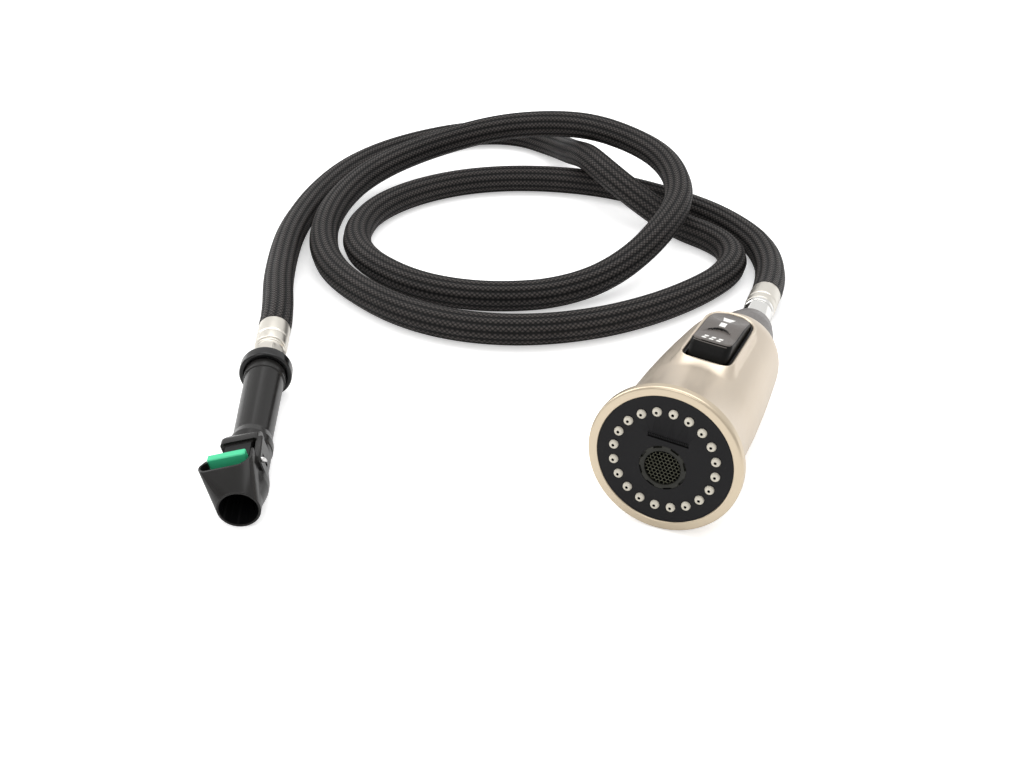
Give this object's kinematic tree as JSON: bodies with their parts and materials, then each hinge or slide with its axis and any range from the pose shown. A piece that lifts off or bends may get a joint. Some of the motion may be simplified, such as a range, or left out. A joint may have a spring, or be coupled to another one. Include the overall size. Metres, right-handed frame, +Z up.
{
  "type": "handheld bath sprayer",
  "caption": "Pull-out spray head with a round nozzle face, a centre aerator and a rocker button, on a braided hose that ends in a push-on supply connector.",
  "frame": {"origin": "on the floor under the middle of the spray head as it lies, with the hose and connector left out", "axes": "+Z up; the spray head lies along Y with its nozzle face towards -Y and the hose leaving towards +Y; the rocker faces up"},
  "size_m": [0.2857, 0.3777, 0.0564],
  "materials": {
    "nickel": "satin brushed nickel",
    "rim_nickel": "satin brushed nickel",
    "face_black": "fine matte",
    "nozzle_rubber": "matte silicone",
    "aerator_grey": "satin",
    "black_rubber": "matte",
    "core_plastic": "moulded",
    "frame_black": "moulded",
    "steel": "polished",
    "white_plastic": "moulded",
    "collar_grey": "satin",
    "button_black": "fine grained satin",
    "red_plastic": "moulded",
    "brass": "turned",
    "nut_chrome": "polished",
    "ferrule_nickel": "satin",
    "hose_braid": "braided nylon over rubber",
    "flange_black": "gloss",
    "connector_black": "moulded satin",
    "tab_green": "moulded"
  },
  "bodies": {
    "head": {"head_shell": "nickel", "face_ring": "rim_nickel", "face_plate": "face_black", "nozzle_mat": "nozzle_rubber", "aerator_cage": "aerator_grey", "aerator_screen": "aerator_grey", "aerator_seal": "black_rubber", "waterway_core": "core_plastic", "rocker_frame": "frame_black", "rocker_pin": "steel", "check_valve_cage": "white_plastic", "check_valve_spring": "steel", "inlet_collar": "collar_grey"},
    "rocker": {"rocker_button": "button_black"},
    "spool": {"diverter_spool": "white_plastic", "spool_seals": "black_rubber"},
    "poppet": {"check_valve_poppet": "red_plastic"},
    "hose": {"hose_stem": "brass", "stem_seals": "black_rubber", "swivel_nut": "nut_chrome", "head_ferrule": "ferrule_nickel", "hose": "hose_braid", "tail_ferrule": "ferrule_nickel", "tail_fitting": "ferrule_nickel", "stop_flange": "flange_black", "connector_body": "connector_black", "retaining_clip": "steel", "lock_spring": "steel"},
    "lock": {"lock_slide": "tab_green"}
  },
  "joints": [
    {"name": "head_swivel", "type": "hinge", "parent": "hose", "child": "head", "pos_m": [0, 0.05075, 0.01738], "axis": [0, 0.9956, -0.094], "continuous": true},
    {"name": "rocker_tilt", "type": "hinge", "parent": "head", "child": "rocker", "pos_m": [0.00166, -0.00223, 0.04139], "axis": [0.9962, -0.0082, -0.0868], "range_deg": [0, 14.8]},
    {"name": "diverter_slide", "type": "slide", "parent": "head", "child": "spool", "axis": [0, 0.9956, -0.094], "range_m": [0, 0.00417]},
    {"name": "check_valve_slide", "type": "slide", "parent": "head", "child": "poppet", "axis": [0, -0.9956, 0.094], "range_m": [0, 0.0025], "stiffness_N_per_m": 60, "springref_m": -0.002, "deforming": ["check_valve_spring"]},
    {"name": "lock_slide_push", "type": "slide", "parent": "hose", "child": "lock", "axis": [-0.4459, 0.8944, 0.0333], "range_m": [0, 0.0024], "stiffness_N_per_m": 200, "springref_m": -0.003, "deforming": ["lock_spring"]}
  ],
  "couplings": [
    {"joint": "diverter_slide", "follows": "rocker_tilt", "m_per_rad": 0.015956}
  ]
}
